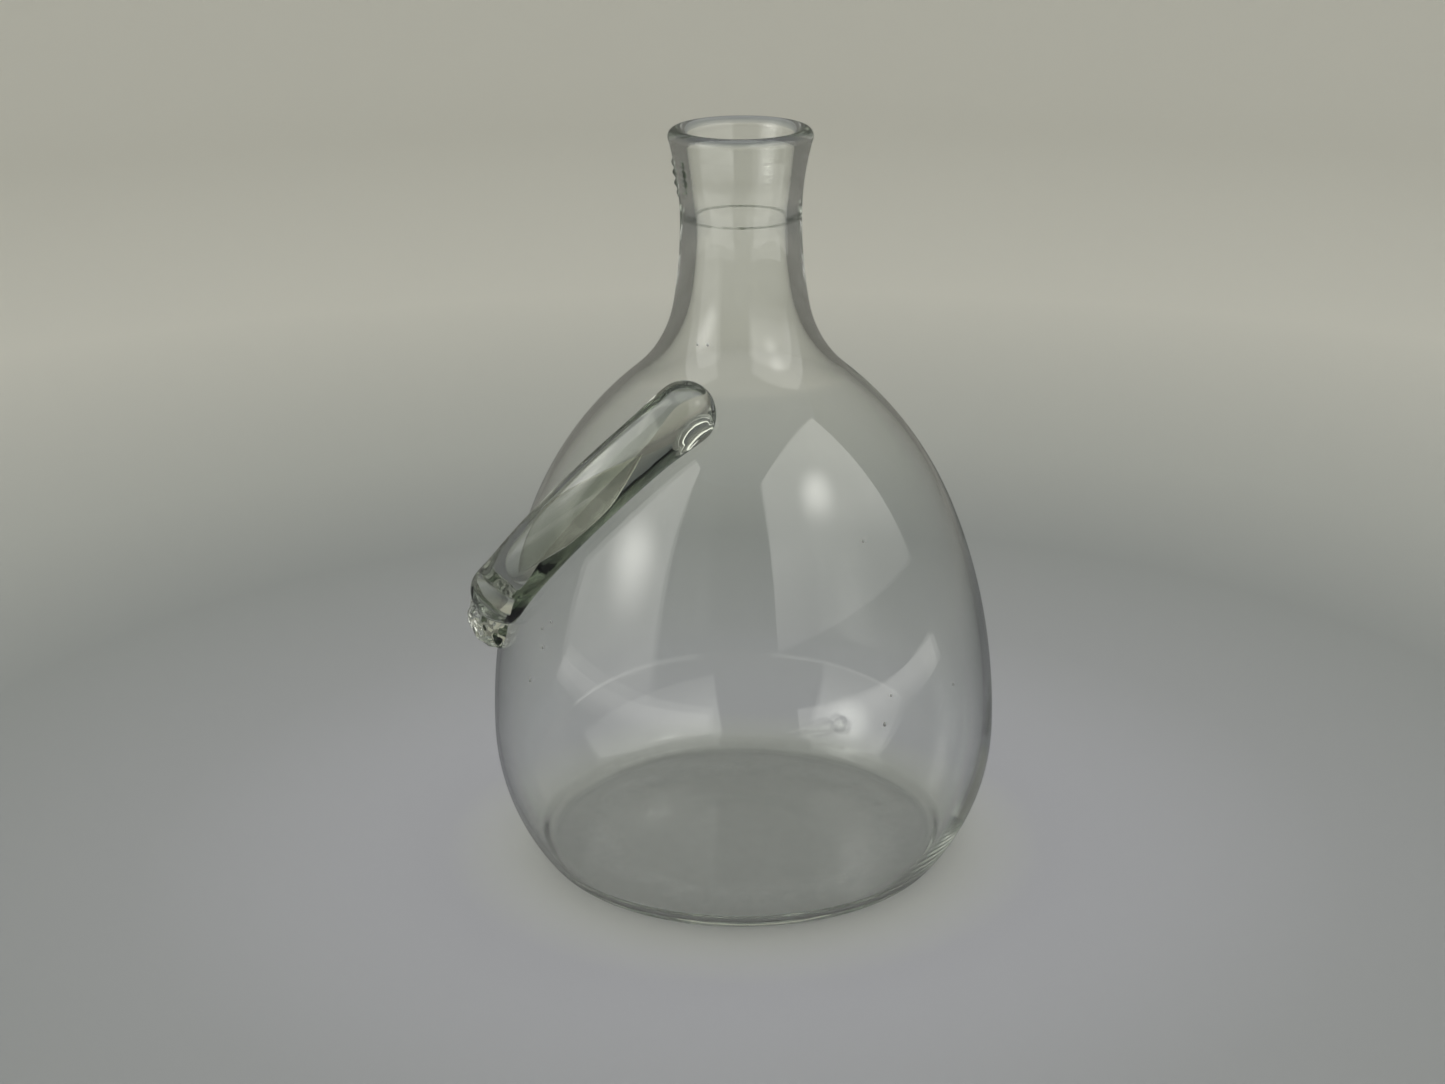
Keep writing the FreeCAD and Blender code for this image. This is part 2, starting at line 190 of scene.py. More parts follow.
# The floor inside sank a little in the middle, inside a faint round edge, while it was soft.
floor_rho = np.hypot(bulb_vertices[:, 0], bulb_vertices[:, 1])
on_floor = (np.arange(len(bulb_vertices)) > outer_count) & (bulb_vertices[:, 2] < BASE_WALL + 0.01)
past_dip = (floor_rho[on_floor] - FLOOR_DIP_R) / FLOOR_DIP_EDGE
bulb_vertices[on_floor, 2] -= FLOOR_DIP / (1 + np.exp(past_dip))
bulb_hidden = np.ones(len(bulb_vertices))
bulb_hidden[outer_count:outer_count + 2 * turn_count] = -1.0


# The four pieces are fused.  Each keeps its own closed skin, and where the skin lies inside a
# neighbour it is marked hidden, a negative distance in mm, so that light passes straight on there.
def skin_of(vertices, faces):
    """A skin that can be searched for the nearest point of a piece."""
    return BVHTree.FromPolygons([tuple(v) for v in vertices], faces)


outer_faces = [f for f in bulb_faces if max(f) < outer_count]
bulb_skin = skin_of(bulb_vertices[:outer_count], outer_faces)


GLASS_IOR = 1.48
FILM_RING_R = 0.037          # metres, as are all sizes in a material
FILM_FULL_Z = 0.0026
FILM_GONE_Z = 0.0032


def linear(colour):
    """Linear RGBA of an sRGB hex colour."""
    parts = [int(colour[k:k + 2], 16) / 255 for k in (1, 3, 5)]
    return (*[p / 12.92 if p <= 0.04045 else ((p + 0.055) / 1.055) ** 2.4 for p in parts], 1.0)


def add(tree, kind, inputs=None, **settings):
    """Adds a node with its settings; an input is a value or another node's output socket."""
    node = tree.nodes.new(kind)
    for name, value in settings.items():
        setattr(node, name, value)
    for name, value in (inputs or {}).items():
        if isinstance(value, bpy.types.NodeSocket):
            tree.links.new(value, node.inputs[name])
        else:
            node.inputs[name].default_value = value
    return node


def new_material(name):
    """An empty material and its node tree."""
    material = bpy.data.materials.new(name)
    material.use_nodes = True
    material.node_tree.nodes.clear()
    return material, material.node_tree


def lampworked_glass(name, colour, depth_tint, density, film=0.0):
    """Borosilicate glass, blown or drawn and fire-polished: colourless in a thin wall and
    grey-green through a thick one, mirror smooth, with faint smears from handling about 26 mm
    across.  Shadow rays pass it, and so does every ray where its skin lies inside a neighbour."""
    material, tree = new_material(name)
    place = add(tree, "ShaderNodeTexCoord").outputs["Object"]
    smear = add(tree, "ShaderNodeTexNoise", {"Vector": place, "Scale": 38.0, "Detail": 3.0,
                                             "Distortion": 1.2})
    rough = add(tree, "ShaderNodeMapRange", {"Value": smear.outputs["Fac"], "From Min": 0.5,
                                             "From Max": 0.75, "To Min": 0.0, "To Max": 0.045})
    glass = add(tree, "ShaderNodeBsdfPrincipled", {
        "Base Color": linear(colour), "IOR": GLASS_IOR, "Transmission Weight": 1.0,
        "Roughness": rough.outputs["Result"]})
    surface = glass.outputs["BSDF"]
    if film:
        surface = base_film(tree, place, surface, film)
    clear = add(tree, "ShaderNodeBsdfTransparent", {"Color": linear("#ffffff")}).outputs["BSDF"]
    path = add(tree, "ShaderNodeLightPath").outputs
    lit = add(tree, "ShaderNodeMixShader", {0: path["Is Shadow Ray"], 1: surface, 2: clear})
    gap = add(tree, "ShaderNodeAttribute", attribute_name="weld").outputs["Fac"]
    inside = add(tree, "ShaderNodeMath", {0: gap, 1: 0.0}, operation="LESS_THAN").outputs[0]
    through = add(tree, "ShaderNodeBsdfTransparent").outputs["BSDF"]
    whole = add(tree, "ShaderNodeMixShader", {0: inside, 1: lit.outputs[0], 2: through})
    depth = add(tree, "ShaderNodeVolumeAbsorption", {"Color": linear(depth_tint),
                                                     "Density": density})
    add(tree, "ShaderNodeOutputMaterial", {"Surface": whole.outputs[0],
                                           "Volume": depth.outputs[0]})
    return material


def base_film(tree, place, surface, amount):
    """A dried whitish film that rinsing left on the foot, thickest in a ring near its edge and
    broken into spots about 4 mm across."""
    split = add(tree, "ShaderNodeSeparateXYZ", {"Vector": place}).outputs
    flat = add(tree, "ShaderNodeCombineXYZ", {"X": split["X"], "Y": split["Y"]}).outputs[0]
    radius = add(tree, "ShaderNodeVectorMath", {0: flat}, operation="LENGTH").outputs["Value"]
    off = add(tree, "ShaderNodeMath", {0: radius, 1: FILM_RING_R},
              operation="SUBTRACT").outputs[0]
    off = add(tree, "ShaderNodeMath", {0: off}, operation="ABSOLUTE").outputs[0]
    ring = add(tree, "ShaderNodeMapRange", {"Value": off, "From Min": 0.001, "From Max": 0.007,
                                            "To Min": 1.0, "To Max": 0.25})
    low = add(tree, "ShaderNodeMapRange", {"Value": split["Z"], "From Min": FILM_GONE_Z,
                                           "From Max": FILM_FULL_Z})
    spots = add(tree, "ShaderNodeTexNoise", {"Vector": place, "Scale": 240.0, "Detail": 5.0,
                                             "Roughness": 0.7})
    patch = add(tree, "ShaderNodeMapRange", {"Value": spots.outputs["Fac"], "From Min": 0.42,
                                             "From Max": 0.72, "To Min": 0.3})
    share = amount
    for part in (ring, low, patch):
        share = add(tree, "ShaderNodeMath", {0: share, 1: part.outputs[0]},
                    operation="MULTIPLY").outputs[0]
    white = add(tree, "ShaderNodeBsdfPrincipled", {"Base Color": linear("#e9ebe8"),
                                                   "Roughness": 0.9}).outputs["BSDF"]
    return add(tree, "ShaderNodeMixShader", {0: share, 1: surface, 2: white}).outputs[0]


def finished(name, vertices, faces, hidden, material, node):
    """The piece with its glass, riding on the flask in place of its CAD node."""
    made = piece(name, vertices, faces)
    weld = made.data.attributes.new("weld", "FLOAT", "POINT")
    weld.data.foreach_set("value", hidden.astype(np.float32))
    made.data.materials.append(material)
    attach(made, "root")
    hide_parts(node)
    return made


CLEAR = "#fdfefd"
DEPTH_TINT = "#dfe8dc"
DEPTH_DENSITY = 6.0
WATER_FILM = 0.3
blown_glass = lampworked_glass("blown_lab_glass", CLEAR, DEPTH_TINT, DEPTH_DENSITY, WATER_FILM)
bulb = finished("blown_bulb", bulb_vertices, bulb_faces, bulb_hidden, blown_glass, "bulb")

# ---- The mouth tube ----
# A short length of thicker tube, flared and fire-polished at the rim and fused on the neck.  The
# seam stays as a faint ring, and the jack left a small tool mark on the left of the flare.
LIP_R = 14.7
LIP_Z = 177.6
LIP_ARC = 1.9
CREST_ARC = 2.9
MOUTH_EDGE_R = 12.2
CREST_PITCH = 0.2
BORE_RINGS = 24
MOUTH_TURN = 2.0
TOOL_MARK_AZIMUTH = 92.0
TOOL_MARK_Z = 166.5
TOOL_MARK_SPREAD = 9.0       # degrees round the flare
TOOL_MARK_RISE = 4.5
TOOL_MARK_DEPTH = 0.55
TOOL_MARK_RIPPLE = 2.6       # radians of ripple to the mm
OUTSIDE_R = 13.2             # beyond every point of the bore below the mouth's edge

lip = complex(LIP_R, LIP_Z - LIP_ARC)
step = lip - complex(NECK_R, SEAM_Z)
flare_arc = (abs(step) ** 2 - LIP_ARC ** 2) / (2 * (LIP_ARC + step.real))
flare = complex(NECK_R + flare_arc, SEAM_Z)
crest = complex(LIP_R, LIP_Z)
crest_centre = crest - CREST_ARC * 1j
edge_rise = math.sqrt(CREST_ARC ** 2 - (LIP_R - MOUTH_EDGE_R) ** 2)
edge = complex(MOUTH_EDGE_R, crest_centre.imag + edge_rise)
mouth_outline = [complex(r, SEAM_Z) for r in
                 (MOUTH_BORE_R + SEAM_SKIN, NECK_R - SEAM_SKIN, NECK_R)]
mouth_outline += arc(flare, complex(NECK_R, SEAM_Z), toward(flare, lip, flare_arc), EDGE_PITCH)
mouth_outline += arc(lip, toward(flare, lip, flare_arc), crest, CREST_PITCH)
mouth_outline += arc(crest_centre, crest, edge, CREST_PITCH)
bore = complex(MOUTH_BORE_R, SEAM_Z) - edge
mouth_outline += [edge + bore * k / BORE_RINGS for k in range(1, BORE_RINGS + 1)]
mouth_azimuths = np.radians(np.arange(0.0, 360.0, MOUTH_TURN))
mouth_vertices, mouth_faces = turned(mouth_outline, mouth_azimuths)
x, y, z = mouth_vertices.T
mark_across = (np.degrees(np.arctan2(-x, -y)) - TOOL_MARK_AZIMUTH) / TOOL_MARK_SPREAD
mark_along = (z - TOOL_MARK_Z) / TOOL_MARK_RISE
mark = TOOL_MARK_DEPTH * np.exp(-mark_across ** 2 - mark_along ** 4)
mark *= 1 + 0.5 * np.sin(z * TOOL_MARK_RIPPLE)
mark[np.hypot(x, y) < OUTSIDE_R] = 0.0
scale = 1 + mark / np.hypot(x, y)
mouth_vertices = np.column_stack((x * scale, y * scale, z))
mouth_hidden = np.ones(len(mouth_vertices))
mouth_hidden[:2 * len(mouth_azimuths)] = -1.0
tube_glass = lampworked_glass("drawn_tube_glass", CLEAR, DEPTH_TINT, DEPTH_DENSITY)
finished("mouth_tube", mouth_vertices, mouth_faces, mouth_hidden, tube_glass, "neck_finish")

# ---- The rod handle ----
# Solid oval glass rod, drawn and bent hot to the curve of the body, and welded on along its back.
# Both ends were rounded in the flame, which drew them up a little fatter.
ROD_HALF_WIDTH = 6.5
ROD_HALF_DEPTH = 4.79
END_HALF_WIDTH = 7.05
END_HALF_DEPTH = 5.6
BEND_R = 63.8
BEND_CENTRE = np.array((-13.9, 25.3, 88.9))
BEND_TURN = math.radians(150.1)
BEND_TIP = math.radians(47.0)
TIP_ANGLE = math.radians(68.05)
ROD_SWEEP = math.radians(63.3)
FAT_END = 7.0                # length over which an end's fatness dies away
CAP_RINGS = 16
SHAFT_RINGS = 73
ROUND = 96
FILLET = 4.0                 # how far the softened glass drew up into the corner of a weld


def bend_frame(angle):
    """Outward, along and across directions of the rod, and its centre, at an angle of the bend."""
    across = np.array((math.sin(BEND_TIP) * math.cos(BEND_TURN),
                       math.sin(BEND_TIP) * math.sin(BEND_TURN), math.cos(BEND_TIP)))
    first = np.array((math.cos(BEND_TIP) * math.cos(BEND_TURN),
                      math.cos(BEND_TIP) * math.sin(BEND_TURN), -math.sin(BEND_TIP)))
    second = np.cross(across, first)
    outward = math.cos(angle) * first + math.sin(angle) * second
    along = -math.sin(angle) * first + math.cos(angle) * second
    return outward, along, across, BEND_CENTRE + BEND_R * outward


def rod_stations():
    """Arc lengths along the rod from its lower tip, close together round both ends."""
    length = BEND_R * ROD_SWEEP
    cap = [END_HALF_WIDTH * (1 - math.cos(math.pi / 2 * k / CAP_RINGS))
           for k in range(CAP_RINGS)]
    start = [c - END_HALF_WIDTH for c in cap]
    shaft = np.linspace(0, length, SHAFT_RINGS).tolist()
    return start + shaft + [length - s for s in start[::-1]], length


stations, rod_length = rod_stations()
rod_rings = []
for s in stations:
    outward, along, across, middle = bend_frame(TIP_ANGLE + s / BEND_R)
    past_end = max(0.0, -s, s - rod_length)
    shrink = math.sqrt(max(0.0, 1 - (past_end / END_HALF_WIDTH) ** 2))
    from_end = min(max(s, 0.0), max(rod_length - s, 0.0))
    fat = math.exp(-(from_end / FAT_END) ** 2)
    half_width = (ROD_HALF_WIDTH + (END_HALF_WIDTH - ROD_HALF_WIDTH) * fat) * shrink
    half_depth = (ROD_HALF_DEPTH + (END_HALF_DEPTH - ROD_HALF_DEPTH) * fat) * shrink
    ring = [middle + outward * half_depth * math.cos(t) + across * half_width * math.sin(t)
            for t in np.linspace(0, 2 * math.pi, ROUND, endpoint=False)]
    rod_rings.append(ring)


def lofted(rings):
    """Vertices and faces of a closed skin through rings; the first and last close to a point."""
    around = len(rings[0])
    ends = [np.mean(rings[0], axis=0), np.mean(rings[-1], axis=0)]
    inner = rings[1:-1]
    vertices = [ends[0]] + [p for ring in inner for p in ring] + [ends[1]]
    faces = []
    for j in range(around):
        k = (j + 1) % around
        faces.append((0, 1 + j, 1 + k))
        for i in range(len(inner) - 1):
            low = 1 + i * around
            high = low + around
            faces.append((low + k, low + j, high + j, high + k))
        last = 1 + (len(inner) - 1) * around
        faces.append((last + k, last + j, len(vertices) - 1))
    return np.array(vertices), faces


rod_vertices, rod_faces = lofted(rod_rings)

# A long flat pocket of air stayed between the weld's two edges, where the rod bridged the curve.
POCKET_START = 12.0
POCKET_END = 57.0
POCKET_HALF_WIDTH = 3.0
POCKET_HALF_DEPTH = 0.3
POCKET_INWARD = 3.9
POCKET_DRIFT = 0.5
POCKET_BEND = 5.2
POCKET_RINGS = 61
POCKET_ROUND = 40
pocket_rings = []
for u in (1 - np.cos(np.linspace(0, math.pi, POCKET_RINGS))) / 2:
    s = POCKET_START + (POCKET_END - POCKET_START) * u
    outward, along, across, middle = bend_frame(TIP_ANGLE + s / BEND_R)
    size = math.sin(math.pi * u) ** 0.9
    drift = across * POCKET_DRIFT * math.sin(POCKET_BEND * u)
    pocket_rings.append([middle - outward * (POCKET_INWARD - POCKET_HALF_DEPTH * size * math.cos(t))
                         + drift + across * POCKET_HALF_WIDTH * size * math.sin(t)
                         for t in np.linspace(0, 2 * math.pi, POCKET_ROUND, endpoint=False)])
pocket_vertices, pocket_faces = lofted(pocket_rings)
pocket_faces = [face[::-1] for face in pocket_faces]    # the glass is outside the pocket


def outside(vertices, skins):
    """Signed distance in mm of each vertex from the nearest of the skins, negative inside."""
    gaps = []
    for vertex in vertices:
        gap = math.inf
        for skin in skins:
            near, normal, _, distance = skin.find_nearest(Vector(vertex))
            side = (Vector(vertex) - near).dot(normal)
            gap = min(gap, math.copysign(distance, side))
        gaps.append(gap)
    return np.array(gaps)


def drawn_up(vertices, faces, skins):
    """The vertices, moved outwards where surface tension fills the corner beside a weld."""
    mesh = bpy.data.meshes.new("draft")
    mesh.from_pydata(vertices.tolist(), [], faces)
    normals = np.empty(len(vertices) * 3)
    mesh.vertex_normals.foreach_get("vector", normals)
    bpy.data.meshes.remove(mesh)
    gap = np.clip(outside(vertices, skins), 0, FILLET)
    return vertices + normals.reshape(-1, 3) * ((FILLET - gap) ** 2 / (4 * FILLET))[:, None]


first_rod_skin = skin_of(rod_vertices, rod_faces)
rod_vertices = drawn_up(rod_vertices, rod_faces, [bulb_skin])
rod_skin = skin_of(rod_vertices, rod_faces)
rod_count = len(rod_vertices)
pocket_faces = [tuple(i + rod_count for i in face) for face in pocket_faces]
rod_hidden = np.concatenate((outside(rod_vertices, [bulb_skin]), np.ones(len(pocket_vertices))))
ROD_CLEAR = "#eef0e8"
ROD_TINT = "#d5dad2"
ROD_DENSITY = 16.0
rod_glass = lampworked_glass("drawn_rod_glass", ROD_CLEAR, ROD_TINT, ROD_DENSITY)
rod = finished("rod_handle", np.vstack((rod_vertices, pocket_vertices)), rod_faces + pocket_faces,
               rod_hidden, rod_glass, "handle_rod")

# ---- The foot of the handle ----
# A dab of the same glass pressed on the side of the body to hold the lower tip of the rod.  It was
# pinched with the jack while soft, so it is wrinkled.
PAD_AZIMUTH = math.radians(81.0)
PAD_R = 60.2
PAD_Z = 62.9
PAD_HALF_WIDTH = 7.3
PAD_HALF_DEPTH = 5.97
PAD_RINGS = 49
FOLD = 0.07                  # share of its size that the broad folds and the fine wrinkles take
FOLD_SCALE = 2.3
WRINKLE = 0.05
WRINKLE_SCALE = 6.1
WRINKLE_START = Vector((4, 1, 2))
pad_out = np.array((-math.sin(PAD_AZIMUTH), -math.cos(PAD_AZIMUTH), 0.0))
pad_side = np.array((-pad_out[1], pad_out[0], 0.0))
pad_middle = pad_out * PAD_R + np.array((0.0, 0.0, PAD_Z))
pad_rings = []
for latitude in np.linspace(0, math.pi, PAD_RINGS):
    ring = []
    for t in np.linspace(0, 2 * math.pi, ROUND, endpoint=False):
        flat = math.sin(latitude)
        spot = Vector((flat * math.cos(t), flat * math.sin(t), math.cos(latitude)))
        crease = (FOLD * noise.noise(spot * FOLD_SCALE)
                  + WRINKLE * noise.noise(spot * WRINKLE_SCALE + WRINKLE_START))
        size = 1 + crease
        ring.append(pad_middle + size * (pad_out * PAD_HALF_DEPTH * math.cos(latitude)
                                         + pad_side * PAD_HALF_WIDTH * flat * math.cos(t)
                                         + np.array((0, 0, PAD_HALF_WIDTH * flat * math.sin(t)))))
    pad_rings.append(ring)
pad_vertices, pad_faces = lofted(pad_rings)
pad_vertices = drawn_up(pad_vertices, pad_faces, [bulb_skin, first_rod_skin])
pad_skin = skin_of(pad_vertices, pad_faces)
finished("handle_dab", pad_vertices, pad_faces, outside(pad_vertices, [bulb_skin, rod_skin]),
         rod_glass, "handle_foot")


def cover(made, which, skins):
    """Marks hidden what the skins of later pieces cover of the vertices in which."""
    weld = made.data.attributes["weld"].data
    for i in which:
        gap = outside([made.data.vertices[i].co / MM], skins)[0]
        weld[i].value = min(weld[i].value, gap)


HANDLE_LOW_Z = 45            # the part of the bulb that the handle can reach
HANDLE_HIGH_Z = 140
HANDLE_RIGHT_X = 5
bulb_x, _, bulb_z = bulb_vertices[:outer_count].T
near_handle = np.flatnonzero((bulb_z > HANDLE_LOW_Z) & (bulb_z < HANDLE_HIGH_Z)
                             & (bulb_x < HANDLE_RIGHT_X))
cover(bulb, near_handle.tolist(), [rod_skin, pad_skin])
cover(rod, range(rod_count), [pad_skin])

# ---- The seeds ----
# Small bubbles of air that were in the melt and stayed in the wall, drawn a little long as the
# bulb was blown.  They lie halfway through the wall, most of them low on the near side.
SEED_R = 0.34
SEED_STRETCH = 1.5
SEED_LEAST = 0.7             # share of the radius, between which each seed's own is drawn
SEED_MOST = 1.2
SEED_DRAW = 7
# Azimuth from the front to the left in degrees, and height.
SEED_SPOTS = ((56.8, 55.6), (53.5, 64.5), (52.2, 70.7), (-34.8, 58.2), (-32.5, 52.1), (35.8, 130.5),
              (26.9, 130.8), (118.0, 44.0), (163.0, 92.0), (214.0, 61.0), (247.0, 31.0))
upper_wall = [p for p in outer_side if p.imag > HEEL_R]
spots = []
for azimuth, height in SEED_SPOTS:
    rho = np.interp(height, [p.imag for p in upper_wall], [p.real for p in upper_wall]) - WALL / 2
    turn = math.radians(azimuth)
    spots.append((-rho * math.sin(turn), -rho * math.cos(turn), height))

seed_tree = bpy.data.node_groups.new("seeds_at_points", "GeometryNodeTree")
for label, kind in (("Geometry", "Geometry"), ("Radius", "Float"), ("Stretch", "Float"),
                    ("Seed", "Int"), ("Material", "Material")):
    seed_tree.interface.new_socket(label, in_out="INPUT", socket_type="NodeSocket" + kind)
seed_tree.interface.new_socket("Geometry", in_out="OUTPUT", socket_type="NodeSocketGeometry")
given = add(seed_tree, "NodeGroupInput").outputs
bubble = add(seed_tree, "GeometryNodeMeshIcoSphere", {"Radius": given["Radius"], "Subdivisions": 3})
size = add(seed_tree, "FunctionNodeRandomValue", {2: SEED_LEAST, 3: SEED_MOST,
                                                 "Seed": given["Seed"]},
           data_type="FLOAT").outputs[1]
tall = add(seed_tree, "ShaderNodeMath", {0: size, 1: given["Stretch"]}, operation="MULTIPLY")
scale = add(seed_tree, "ShaderNodeCombineXYZ", {"X": size, "Y": size, "Z": tall.outputs[0]})
placed = add(seed_tree, "GeometryNodeInstanceOnPoints", {
    "Points": given["Geometry"], "Instance": bubble.outputs["Mesh"], "Scale": scale.outputs[0]})
real = add(seed_tree, "GeometryNodeRealizeInstances", {"Geometry": placed.outputs["Instances"]})
dressed = add(seed_tree, "GeometryNodeSetMaterial", {"Geometry": real.outputs["Geometry"],
                                                     "Material": given["Material"]})
add(seed_tree, "NodeGroupOutput", {"Geometry": dressed.outputs["Geometry"]})

# Air in borosilicate glass: the skin of a seed throws light about, so that it shows as a small
# pale or dark dot, by what lies round it.
seed_skin, tree = new_material("blown_glass_seed_skin")
skin = add(tree, "ShaderNodeBsdfPrincipled", {"Base Color": linear("#fbfcfa"), "Roughness": 0.3,
                                              "IOR": GLASS_IOR})
add(tree, "ShaderNodeOutputMaterial", {"Surface": skin.outputs["BSDF"]})
seeds = piece("wall_seeds", spots, [])
grown = seeds.modifiers.new("seeds", "NODES")
grown.node_group = seed_tree
values = {"Radius": SEED_R * MM, "Stretch": SEED_STRETCH, "Seed": SEED_DRAW, "Material": seed_skin}
for socket in seed_tree.interface.items_tree:
    if socket.in_out == "INPUT" and socket.name in values:
        grown[socket.identifier] = values[socket.name]
seen_now = seeds.evaluated_get(bpy.context.evaluated_depsgraph_get())
seeds_mesh = bpy.data.meshes.new_from_object(seen_now)
seeds.modifiers.clear()
seeds.data = seeds_mesh
seeds_mesh.shade_smooth()
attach(seeds, "root")

# ---- The studio ----
# A round pale sweep, so that the flask can be seen from any side: cool underfoot and warmer further
# out, with painted light on the floor under the flask and a ring of painted shade from about 0.1 to
# 0.33 m out, darkest at 0.23 m.  Sizes here are in metres.
FLOOR_R = 0.95
BEND = 0.40
WALL_TOP = 1.9
FLOOR_Z = -0.0003            # just under the foot, so that the two faces don't meet
SWEEP_RINGS = 40
BEND_PITCH = 0.02
SWEEP_TURN = 3.0
# Distance from the middle and the paper's colour there, painted lighter under the flask and darker
# in a ring of painted shade round it.
SWEEP_TONES_AND_SHADE = ((0.055, "#d2d4d1"), (0.075, "#bfc0c5"), (0.15, "#adafb0"), (0.23, "#a3a6a4"),
               (0.33, "#bcbeb8"), (0.55, "#dddcd2"), (1.00, "#d8d7cd"))
MIRROR_SHADE = 0.58          # the paper as the glass mirrors it, where a room would be darker
sweep_outline = [complex(FLOOR_R * (k / SWEEP_RINGS) ** 1.5, FLOOR_Z)
                 for k in range(SWEEP_RINGS + 1)]
sweep_outline += arc(complex(FLOOR_R, FLOOR_Z + BEND), complex(FLOOR_R, FLOOR_Z),
                     complex(FLOOR_R + BEND, FLOOR_Z + BEND), BEND_PITCH)
sweep_outline += [complex(FLOOR_R + BEND, WALL_TOP)]
sweep_azimuths = np.radians(np.arange(0, 360, SWEEP_TURN))
sweep_vertices, sweep_faces = turned(sweep_outline, sweep_azimuths)
top_ring = len(sweep_vertices) - len(sweep_azimuths)
open_faces = [f for f in sweep_faces if not (0 in f and max(f) >= top_ring)]
sweep = piece("sweep", sweep_vertices / MM, open_faces)

paper, tree = new_material("sweep_paper")
place = add(tree, "ShaderNodeTexCoord").outputs["Object"]
far = add(tree, "ShaderNodeVectorMath", {0: place}, operation="LENGTH").outputs["Value"]
# The paper's tones by distance, with the painted light under the flask and the painted shade round
# it.
tones_and_shade = add(tree, "ShaderNodeValToRGB", {"Fac": far})
for k, (at, tone) in enumerate(SWEEP_TONES_AND_SHADE):
    stop = tones_and_shade.color_ramp.elements[k] if k < 2 else tones_and_shade.color_ramp.elements.new(at)
    stop.position = at
    stop.color = linear(tone)
path = add(tree, "ShaderNodeLightPath").outputs
dim = add(tree, "ShaderNodeMath", {0: path["Glossy Depth"], 1: 0.5},
          operation="GREATER_THAN").outputs[0]
shade = (MIRROR_SHADE, MIRROR_SHADE, MIRROR_SHADE, 1)
seen = add(tree, "ShaderNodeMix", {0: dim, 6: tones_and_shade.outputs["Color"], 7: shade},
           data_type="RGBA", blend_type="MULTIPLY")
matte = add(tree, "ShaderNodeBsdfDiffuse", {"Color": seen.outputs[2]})
add(tree, "ShaderNodeOutputMaterial", {"Surface": matte.outputs[0]})
sweep.data.materials.append(paper)


# Two soft windows stand round the flask, and a glowing card lies on the floor before each: a
# painted reflection of the floor that the window lights, which only the glass mirrors.  The glass
# mirrors panes that nothing else sees, and lamps of the same size light the sweep.
WINDOW_AWAY = 0.9
WINDOW_GLOW = 1.65
WINDOW_FADE = 0.45           # height over which a window brightens from its sill
SILL_SHARE = 0.35
SPOT_SIZE = 0.30
SPOT_GLOW = 5.0
LAMP_LIFT = 0.3
CARD_NEAR = 0.35
CARD_FULL = 0.55
CARD_FAR = 0.86
CARD_SPREAD = 0.75           # half of a card's width to its distance
CARD_Z = 0.001
CARD_NEAR_GLOW = 0.4
CARD_GLOW = 1.2


def facing(azimuth):
    """Direction out from the flask at an azimuth in degrees, from the front to the left."""
    turn = math.radians(azimuth)
    return Vector((-math.sin(turn), -math.cos(turn), 0.0))


def window_glow(name, spot, bottom):
    """Light of a window, brightest round its spot, and of the card before it, whose glow is a
    painted reflection of the lit floor.  Rays that come straight through the glass, or from behind,
    pass it."""
    material, tree = new_material(name)
    place = add(tree, "ShaderNodeTexCoord").outputs["Object"]
    off = add(tree, "ShaderNodeVectorMath", {0: place, 1: tuple(spot)},
              operation="DISTANCE").outputs["Value"]
    height = add(tree, "ShaderNodeSeparateXYZ", {"Vector": place}).outputs["Z"]
    rising = add(tree, "ShaderNodeMapRange", {
        "Value": height, "From Min": bottom, "From Max": bottom + WINDOW_FADE,
        "To Min": WINDOW_GLOW * SILL_SHARE, "To Max": WINDOW_GLOW})
    upright = add(tree, "ShaderNodeMapRange", {
        "Value": off, "From Min": 0.0, "From Max": SPOT_SIZE, "To Min": SPOT_GLOW,
        "To Max": rising.outputs[0]}, interpolation_type="SMOOTHSTEP")
    away = add(tree, "ShaderNodeVectorMath", {0: place}, operation="LENGTH").outputs["Value"]
    # The card's glow, a painted reflection of the lit floor, dimmer near the flask.
    flat = add(tree, "ShaderNodeMapRange", {
        "Value": away, "From Min": CARD_NEAR, "From Max": CARD_FULL, "To Min": CARD_NEAR_GLOW,
        "To Max": CARD_GLOW})
    either = add(tree, "ShaderNodeMapRange", {
        "Value": height, "From Min": CARD_Z, "From Max": CARD_Z + 0.0001,
        "To Min": flat.outputs[0], "To Max": upright.outputs[0]})
    shine = add(tree, "ShaderNodeEmission", {"Color": linear("#fffef8"),
                                             "Strength": either.outputs[0]})
    gone = add(tree, "ShaderNodeBsdfTransparent").outputs[0]
    path = add(tree, "ShaderNodeLightPath").outputs
    unmirrored = add(tree, "ShaderNodeMath", {0: path["Glossy Depth"], 1: 0.5},
                     operation="LESS_THAN").outputs[0]
    straight = add(tree, "ShaderNodeMath", {0: unmirrored, 1: path["Is Transmission Ray"]},
                   operation="MULTIPLY").outputs[0]
    back = add(tree, "ShaderNodeNewGeometry").outputs["Backfacing"]
    skip = add(tree, "ShaderNodeMath", {0: straight, 1: back}, operation="MAXIMUM").outputs[0]
    both = add(tree, "ShaderNodeMixShader", {0: skip, 1: shine.outputs[0], 2: gone})
    add(tree, "ShaderNodeOutputMaterial", {"Surface": both.outputs[0]})
    material.cycles.emission_sampling = "NONE"
    return material


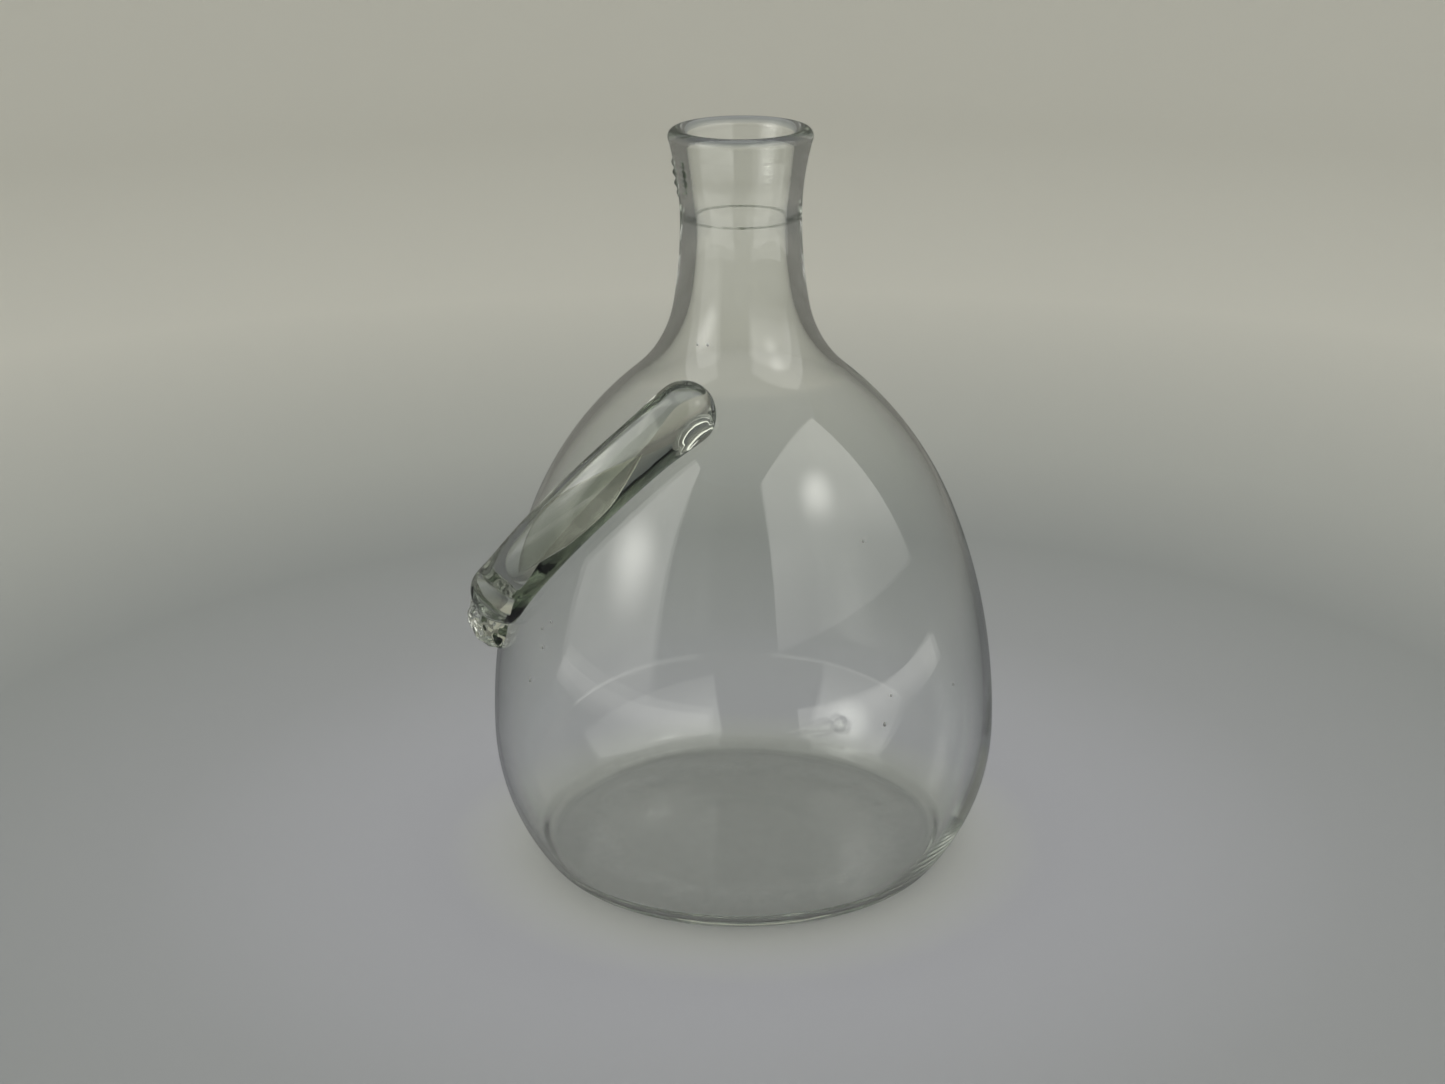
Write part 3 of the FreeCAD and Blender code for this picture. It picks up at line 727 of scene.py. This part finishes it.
def softbox(name, azimuth, half_width, bottom, top, spot, power, card_azimuth):
    """A window with its card and its lamp; spot is across from its middle and up."""
    out = facing(azimuth)
    side = Vector((-out.y, out.x, 0.0))
    middle = out * WINDOW_AWAY + Vector((0, 0, (bottom + top) / 2))
    rise = Vector((0, 0, (top - bottom) / 2))
    window = [middle + side * half_width * s + rise * h
              for s, h in ((-1, -1), (-1, 1), (1, 1), (1, -1))]
    # The card glows as a painted reflection of the floor that the window lights.
    card_out = facing(card_azimuth)
    card_side = Vector((-card_out.y, card_out.x, 0.0)) * CARD_SPREAD
    lift = Vector((0, 0, CARD_Z))
    card = [(card_out + card_side * s) * far + lift
            for s, far in ((-1, CARD_NEAR), (-1, CARD_FAR), (1, CARD_FAR), (1, CARD_NEAR))]
    pane = piece(name + "_pane", np.array(window + card) / MM, [(0, 1, 2, 3), (4, 5, 6, 7)])
    bright = out * WINDOW_AWAY + side * spot[0] + Vector((0, 0, spot[1]))
    pane.data.materials.append(window_glow(name + "_glow", bright, bottom))
    pane.visible_camera = False
    pane.visible_shadow = False
    pane.visible_diffuse = False
    lamp = bpy.data.lights.new(name, "AREA")
    lamp.shape = "RECTANGLE"
    lamp.size = 2 * half_width
    lamp.size_y = top - bottom - LAMP_LIFT
    lamp.energy = power
    lamp.cycles.use_multiple_importance_sampling = False
    holder = bpy.data.objects.new(name, lamp)
    holder.location = middle + Vector((0, 0, LAMP_LIFT / 2))
    holder.rotation_euler = out.to_track_quat("Z", "Y").to_euler()
    holder.visible_camera = False
    holder.visible_glossy = False
    holder.visible_transmission = False
    bpy.context.scene.collection.objects.link(holder)


softbox("left_window", azimuth=65.0, half_width=0.40, bottom=0.0, top=1.55, spot=(0.05, 0.45),
        power=2.2, card_azimuth=51.0)
softbox("right_window", azimuth=-56.0, half_width=0.76, bottom=0.24, top=1.75, spot=(0.0, 0.95),
        power=5.8, card_azimuth=-60.0)

# The room's own light: full on what it falls on, and faint where it is itself seen.
ROOM_LIGHT = 0.80
ROOM_SEEN = 0.25
world = bpy.data.worlds.new("room")
bpy.context.scene.world = world
world.use_nodes = True
tree = world.node_tree
tree.nodes.clear()
path = add(tree, "ShaderNodeLightPath").outputs
direct = add(tree, "ShaderNodeMath", {0: path["Diffuse Depth"], 1: 0.5},
             operation="LESS_THAN").outputs[0]
strength = add(tree, "ShaderNodeMapRange", {"Value": direct, "To Min": ROOM_LIGHT,
                                             "To Max": ROOM_SEEN})
sky = add(tree, "ShaderNodeBackground", {"Color": linear("#fbfcff"),
                                         "Strength": strength.outputs[0]})
add(tree, "ShaderNodeOutputWorld", {"Surface": sky.outputs[0]})
world.cycles.sampling_method = "NONE"

# ---- The camera ----
# It stands in front of the flask, higher than its mouth, and looks down on it by 20 degrees
# with a moderately long lens.  It is turned about Z, tilted, and rolled by a trifle.
CAMERA_LENS = 61.71
CAMERA_AT = (0.0, -0.5591, 0.2812)
CAMERA_TURNS = ((0.49, "Z"), (70.0, "X"), (-0.4245, "Z"))
GLASS_BOUNCES = 96           # light is led along inside the thick glass for that long

camera_data = bpy.data.cameras.new("camera")
camera_data.sensor_width = 36.0
camera_data.lens = CAMERA_LENS
camera_data.clip_start = 0.02
camera = bpy.data.objects.new("camera", camera_data)
bpy.context.scene.collection.objects.link(camera)
camera.location = CAMERA_AT
turns = [Matrix.Rotation(math.radians(angle), 3, axis) for angle, axis in CAMERA_TURNS]
camera.rotation_euler = (turns[0] @ turns[1] @ turns[2]).to_euler()
bpy.context.scene.camera = camera

scene = bpy.context.scene
scene.view_settings.view_transform = "Standard"
scene.cycles.max_bounces = GLASS_BOUNCES
scene.cycles.diffuse_bounces = 3
scene.cycles.glossy_bounces = GLASS_BOUNCES
scene.cycles.transmission_bounces = GLASS_BOUNCES
scene.cycles.transparent_max_bounces = GLASS_BOUNCES
scene.cycles.caustics_reflective = False
scene.cycles.caustics_refractive = True
